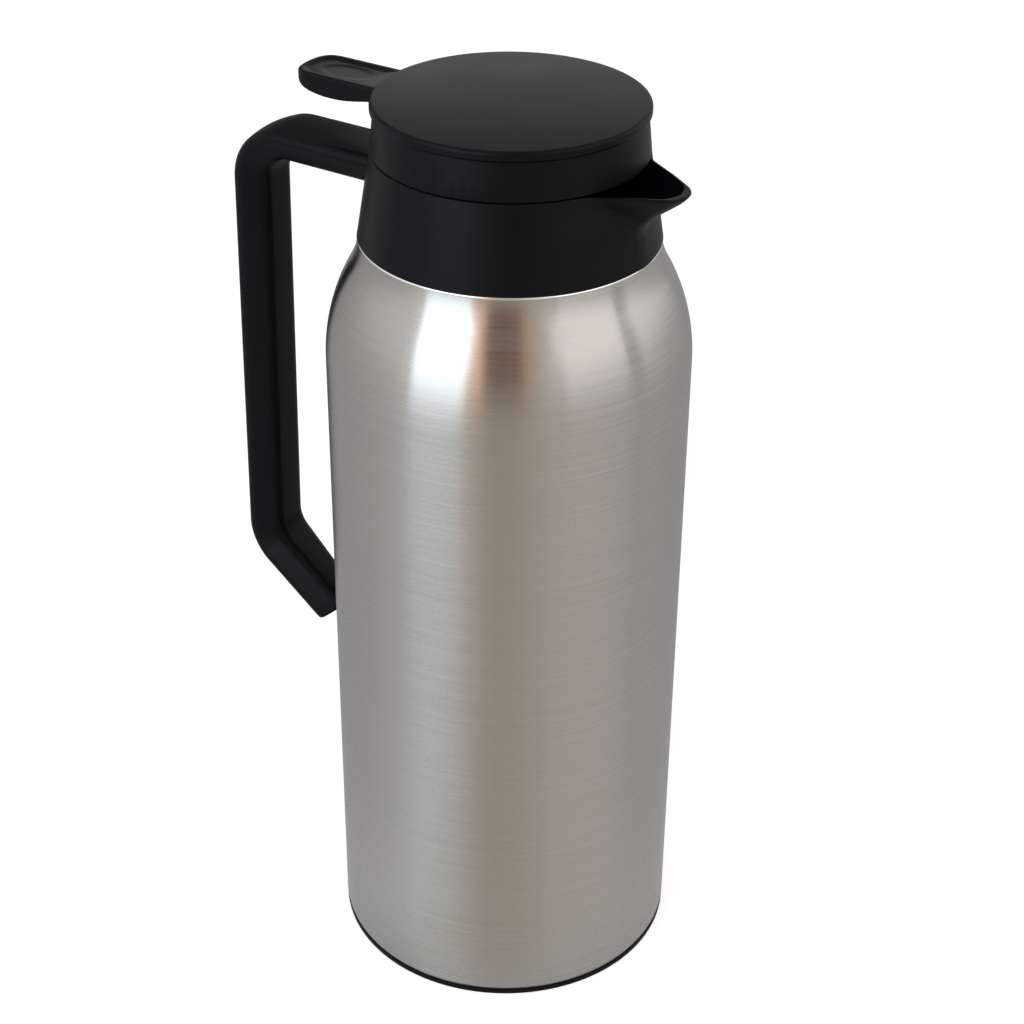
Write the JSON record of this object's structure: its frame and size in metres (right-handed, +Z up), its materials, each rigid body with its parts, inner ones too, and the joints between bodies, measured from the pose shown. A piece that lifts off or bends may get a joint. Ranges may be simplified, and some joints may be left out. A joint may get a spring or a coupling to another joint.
{
  "type": "thermal carafe",
  "caption": "Tall double-walled steel thermal carafe with a spouted collar, a side handle, a screwed stopper and a flip lid worked by a thumb lever.",
  "frame": {"origin": "centre of the flat underside of the base, on the axis of the flask", "axes": "+Z up along the axis of the flask, +X towards the spout, -X towards the handle"},
  "size_m": [0.1653, 0.116, 0.3054],
  "materials": {
    "steel_outer": "circumferentially brushed",
    "steel_inner": "smooth drawn steel",
    "steel_fastener": "bright turned steel",
    "black_plastic": "fine matt moulding",
    "black_inner": "fine matt moulding",
    "white_plastic": "plain moulding",
    "rubber_pad": "soft matt rubber",
    "silicone": "soft silicone"
  },
  "bodies": {
    "flask": {"outer_shell": "steel_outer", "inner_flask": "steel_inner", "base_plate": "steel_inner", "vacuum_seal": "steel_inner", "getter_capsule": "steel_inner", "base_ring": "black_plastic", "base_pad": "rubber_pad", "neck_gasket": "silicone", "collar": "black_plastic", "handle": "black_plastic", "handle_bracket": "steel_inner", "handle_screw_lower": "steel_fastener", "handle_screws_upper": "steel_fastener"},
    "stopper_seal": {"stopper_gasket": "silicone"},
    "stopper": {"stopper_body": "black_plastic", "stopper_base": "black_inner", "valve_spring": "steel_fastener", "hinge_pin": "steel_fastener"},
    "valve": {"valve_stem": "white_plastic", "valve_gasket": "silicone"},
    "lid": {"lid_flap": "black_plastic", "flap_cover": "black_inner", "cover_screws": "steel_fastener"}
  },
  "joints": [
    {"name": "stopper_lift", "type": "slide", "parent": "flask", "child": "stopper_seal", "axis": [0, 0, 1], "range_m": [0, 0.0401]},
    {"name": "stopper_turn", "type": "hinge", "parent": "stopper_seal", "child": "stopper", "pos_m": [0, 0, 0.29], "axis": [0, 0, 1], "range_deg": [0, 450]},
    {"name": "lid_hinge", "type": "hinge", "parent": "stopper", "child": "lid", "pos_m": [-0.037, 0, 0.29853], "axis": [0, -1, 0], "range_deg": [0, 22], "stiffness_Nm_per_rad": 0.35, "springref_deg": -28.65},
    {"name": "valve_lift", "type": "slide", "parent": "stopper", "child": "valve", "axis": [0, 0, 1], "range_m": [0, 0.015], "deforming": ["valve_spring"]}
  ],
  "couplings": [
    {"joint": "stopper_lift", "follows": "stopper_turn", "m_per_rad": 0.005093},
    {"joint": "valve_lift", "follows": "lid_hinge", "m_per_rad": 0.0385}
  ]
}
